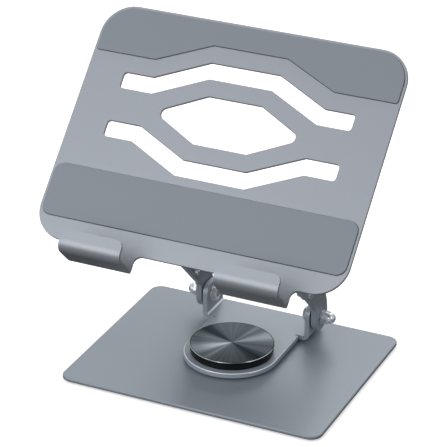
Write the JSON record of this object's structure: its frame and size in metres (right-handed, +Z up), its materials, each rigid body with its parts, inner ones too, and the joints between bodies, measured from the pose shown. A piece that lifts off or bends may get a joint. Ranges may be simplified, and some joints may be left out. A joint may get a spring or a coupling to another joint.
{
  "type": "laptop stand",
  "caption": "Folding laptop stand: a tilting cut-out panel with hooked lips on arms above a turning base plate.",
  "frame": {"origin": "on the table, at the middle of the whole stand's footprint, 17 mm in front of the turntable's axis", "axes": "+Z up, -Y towards the user, +X to the user's right"},
  "size_m": [0.26, 0.2109, 0.2753],
  "materials": {
    "painted_steel": "satin blue-grey powder coat",
    "panel_aluminium": "bead-blasted and anodised blue-grey",
    "pad_silicone": "matt grey silicone",
    "foot_rubber": "matt black",
    "zinc_steel": "bright zinc plate",
    "black_plastic": "smooth black",
    "spun_disc": "circular brushed, black anodised, with a bright bevel"
  },
  "bodies": {
    "base": {"base_plate": "painted_steel", "foot_front_left": "foot_rubber", "foot_front_right": "foot_rubber", "foot_rear_left": "foot_rubber", "foot_rear_right": "foot_rubber", "pivot_stud": "zinc_steel", "thrust_washer": "black_plastic", "pivot_friction_ring": "black_plastic", "pivot_spring_washer": "zinc_steel", "pivot_nut": "zinc_steel"},
    "turntable": {"turntable_bracket": "painted_steel", "cap_ring": "black_plastic", "cap_disc": "spun_disc", "lower_bolt_left": "zinc_steel", "lower_inner_washer_left": "zinc_steel", "lower_friction_washer_left": "black_plastic", "lower_outer_washer_left": "zinc_steel", "lower_cap_nut_left": "zinc_steel", "lower_bolt_right": "zinc_steel", "lower_inner_washer_right": "zinc_steel", "lower_friction_washer_right": "black_plastic", "lower_outer_washer_right": "zinc_steel", "lower_cap_nut_right": "zinc_steel"},
    "arms": {"arm_left": "painted_steel", "arm_right": "painted_steel", "cross_brace": "painted_steel", "brace_screws": "zinc_steel", "brace_nuts": "zinc_steel"},
    "panel": {"panel": "panel_aluminium", "top_pad": "pad_silicone", "bottom_pad": "pad_silicone", "hinge_bracket": "painted_steel", "bracket_screws": "zinc_steel", "upper_bolt_left": "zinc_steel", "upper_inner_washer_left": "zinc_steel", "upper_friction_washer_left": "black_plastic", "upper_outer_washer_left": "zinc_steel", "upper_cap_nut_left": "zinc_steel", "upper_bolt_right": "zinc_steel", "upper_inner_washer_right": "zinc_steel", "upper_friction_washer_right": "black_plastic", "upper_outer_washer_right": "zinc_steel", "upper_cap_nut_right": "zinc_steel"}
  },
  "joints": [
    {"name": "base_swivel", "type": "hinge", "parent": "base", "child": "turntable", "pos_m": [0, 0.01695, 0.009], "axis": [0, 0, 1], "continuous": true},
    {"name": "lower_hinge", "type": "hinge", "parent": "turntable", "child": "arms", "pos_m": [0, 0.07545, 0.0265], "axis": [1, 0, 0], "range_deg": [-50, 30]},
    {"name": "upper_hinge", "type": "hinge", "parent": "arms", "child": "panel", "pos_m": [0, -0.0343, 0.14877], "axis": [1, 0, 0], "range_deg": [-90, 30]}
  ]
}
